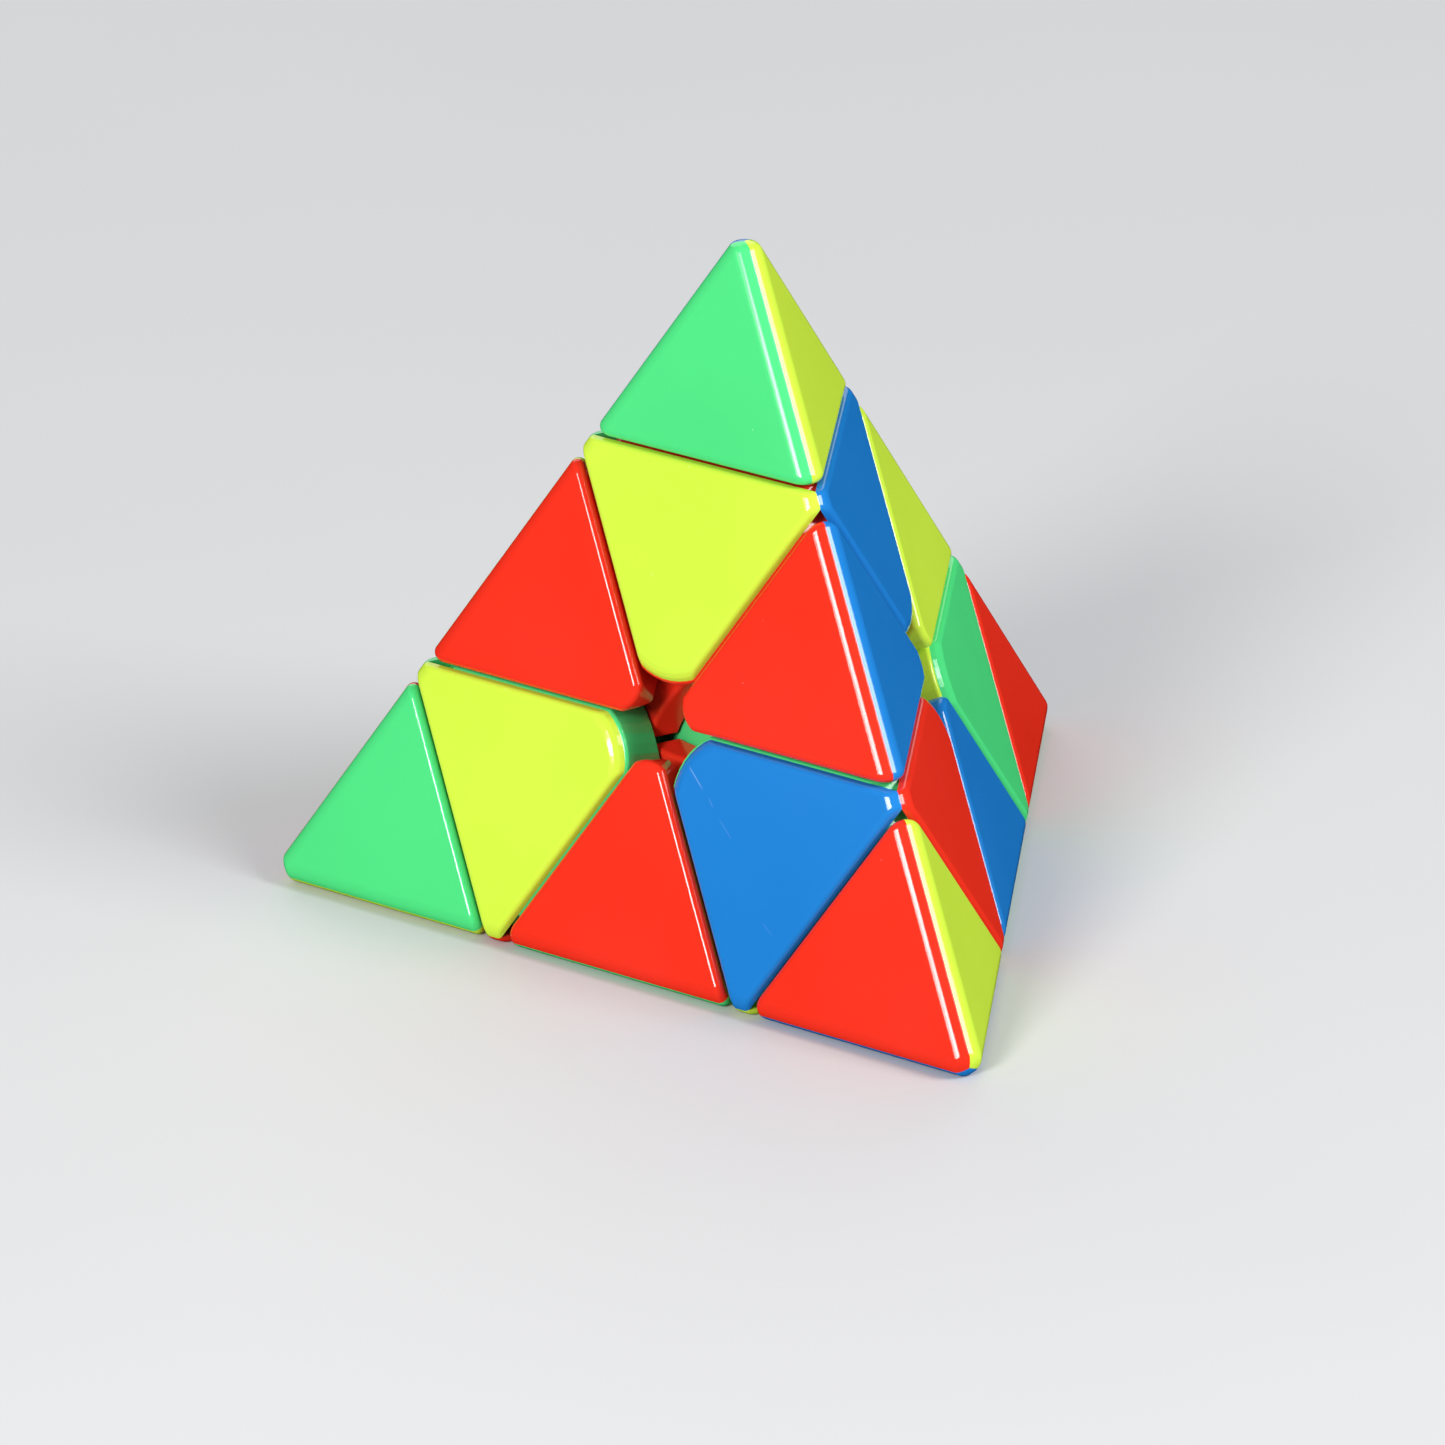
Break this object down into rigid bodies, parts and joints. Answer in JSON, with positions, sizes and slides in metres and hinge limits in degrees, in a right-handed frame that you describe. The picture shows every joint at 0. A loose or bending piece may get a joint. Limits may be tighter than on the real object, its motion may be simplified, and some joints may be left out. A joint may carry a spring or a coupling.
{
  "type": "pyramid twisty puzzle",
  "caption": "Tetrahedral twisty puzzle with turning layers, twisting tips and moulded colour facelets, shown scrambled on a sprung ball core.",
  "frame": {"origin": "centre of the ball core, where the four turning axes meet", "axes": "+Z along the top corner's turning axis, out through its tip; the front face looks towards -Y; +X towards the front face's right corner"},
  "size_m": [0.098, 0.0855, 0.0806],
  "materials": {
    "green_plastic": "moulded gloss ABS, bright green all through",
    "lime_plastic": "moulded gloss ABS, lime yellow all through",
    "red_plastic": "moulded gloss ABS, bright red all through",
    "blue_plastic": "moulded gloss ABS, bright blue all through",
    "screw_steel": "zinc-plated pan-head screw",
    "spring_steel": "bright spring wire"
  },
  "bodies": {
    "core": {"core_ball": "green_plastic", "screw_top": "screw_steel", "screw_left": "screw_steel", "screw_right": "screw_steel", "screw_back": "screw_steel", "spring_top": "spring_steel", "spring_left": "spring_steel", "spring_right": "spring_steel", "spring_back": "spring_steel"},
    "top_layer": {"hub_top": "red_plastic", "cap_top_front": "lime_plastic", "cap_top_right_side": "blue_plastic", "cap_top_left_side": "green_plastic", "tip_screw_top": "screw_steel"},
    "left_layer": {"hub_left": "green_plastic", "cap_left_front": "lime_plastic", "cap_left_left_side": "green_plastic", "cap_left_bottom": "red_plastic", "tip_screw_left": "screw_steel"},
    "right_layer": {"hub_right": "green_plastic", "cap_right_front": "blue_plastic", "cap_right_right_side": "red_plastic", "cap_right_bottom": "lime_plastic", "tip_screw_right": "screw_steel"},
    "back_layer": {"hub_back": "lime_plastic", "cap_back_right_side": "green_plastic", "cap_back_left_side": "red_plastic", "cap_back_bottom": "blue_plastic", "tip_screw_back": "screw_steel"},
    "top_tip": {"tip_top_front_shell": "green_plastic", "tip_top_right_side_shell": "lime_plastic", "tip_top_left_side_shell": "blue_plastic", "tip_spring_top": "spring_steel"},
    "left_tip": {"tip_left_front_shell": "green_plastic", "tip_left_left_side_shell": "red_plastic", "tip_left_bottom_shell": "lime_plastic", "tip_spring_left": "spring_steel"},
    "right_tip": {"tip_right_front_shell": "red_plastic", "tip_right_right_side_shell": "lime_plastic", "tip_right_bottom_shell": "blue_plastic", "tip_spring_right": "spring_steel"},
    "back_tip": {"tip_back_right_side_shell": "red_plastic", "tip_back_left_side_shell": "blue_plastic", "tip_back_bottom_shell": "green_plastic", "tip_spring_back": "spring_steel"},
    "top_left_edge": {"edge_top_left_front_half": "red_plastic", "edge_top_left_left_side_half": "lime_plastic"},
    "top_right_edge": {"edge_top_right_front_half": "red_plastic", "edge_top_right_right_side_half": "blue_plastic"},
    "top_back_edge": {"edge_top_back_right_side_half": "lime_plastic", "edge_top_back_left_side_half": "blue_plastic"},
    "left_right_edge": {"edge_left_right_front_half": "red_plastic", "edge_left_right_bottom_half": "green_plastic"},
    "left_back_edge": {"edge_left_back_bottom_half": "lime_plastic", "edge_left_back_left_side_half": "green_plastic"},
    "right_back_edge": {"edge_right_back_right_side_half": "blue_plastic", "edge_right_back_bottom_half": "green_plastic"}
  },
  "joints": [
    {"name": "top_layer_turn", "type": "hinge", "parent": "core", "child": "top_layer", "pos_m": [0, 0, 0], "axis": [0, 0, 1], "range_deg": [-120, 240]},
    {"name": "left_layer_turn", "type": "hinge", "parent": "core", "child": "left_layer", "pos_m": [0, 0, 0], "axis": [-0.8165, -0.4714, -0.3333], "range_deg": [-120, 240]},
    {"name": "right_layer_turn", "type": "hinge", "parent": "core", "child": "right_layer", "pos_m": [0, 0, 0], "axis": [0.8165, -0.4714, -0.3333], "range_deg": [-120, 240]},
    {"name": "back_layer_turn", "type": "hinge", "parent": "core", "child": "back_layer", "pos_m": [0, 0, 0], "axis": [0, 0.9428, -0.3333], "range_deg": [-120, 240]},
    {"name": "top_tip_twist", "type": "hinge", "parent": "top_layer", "child": "top_tip", "pos_m": [0, 0, 0], "axis": [0, 0, 1], "continuous": true},
    {"name": "left_tip_twist", "type": "hinge", "parent": "left_layer", "child": "left_tip", "pos_m": [0, 0, 0], "axis": [-0.8165, -0.4714, -0.3333], "continuous": true},
    {"name": "right_tip_twist", "type": "hinge", "parent": "right_layer", "child": "right_tip", "pos_m": [0, 0, 0], "axis": [0.8165, -0.4714, -0.3333], "continuous": true},
    {"name": "back_tip_twist", "type": "hinge", "parent": "back_layer", "child": "back_tip", "pos_m": [0, 0, 0], "axis": [0, 0.9428, -0.3333], "continuous": true},
    {"name": "top_left_edge_with_left_layer", "type": "hinge", "parent": "top_layer", "child": "top_left_edge", "pos_m": [0, 0, 0], "axis": [-0.8165, -0.4714, -0.3333], "range_deg": [-120, 240]},
    {"name": "top_right_edge_with_right_layer", "type": "hinge", "parent": "top_layer", "child": "top_right_edge", "pos_m": [0, 0, 0], "axis": [0.8165, -0.4714, -0.3333], "range_deg": [-120, 240]},
    {"name": "top_back_edge_with_top_layer", "type": "hinge", "parent": "back_layer", "child": "top_back_edge", "pos_m": [0, 0, 0], "axis": [0, 0, 1], "range_deg": [-120, 240]},
    {"name": "left_right_edge_with_right_layer", "type": "hinge", "parent": "left_layer", "child": "left_right_edge", "pos_m": [0, 0, 0], "axis": [0.8165, -0.4714, -0.3333], "range_deg": [-120, 240]},
    {"name": "left_back_edge_with_back_layer", "type": "hinge", "parent": "left_layer", "child": "left_back_edge", "pos_m": [0, 0, 0], "axis": [0, 0.9428, -0.3333], "range_deg": [-120, 240]},
    {"name": "right_back_edge_with_right_layer", "type": "hinge", "parent": "back_layer", "child": "right_back_edge", "pos_m": [0, 0, 0], "axis": [0.8165, -0.4714, -0.3333], "range_deg": [-120, 240]}
  ],
  "couplings": [
    {"joint": "top_left_edge_with_left_layer", "follows": "left_layer_turn", "ratio": 1},
    {"joint": "top_right_edge_with_right_layer", "follows": "right_layer_turn", "ratio": 1},
    {"joint": "top_back_edge_with_top_layer", "follows": "top_layer_turn", "ratio": 1},
    {"joint": "left_right_edge_with_right_layer", "follows": "right_layer_turn", "ratio": 1},
    {"joint": "left_back_edge_with_back_layer", "follows": "back_layer_turn", "ratio": 1},
    {"joint": "right_back_edge_with_right_layer", "follows": "right_layer_turn", "ratio": 1}
  ]
}
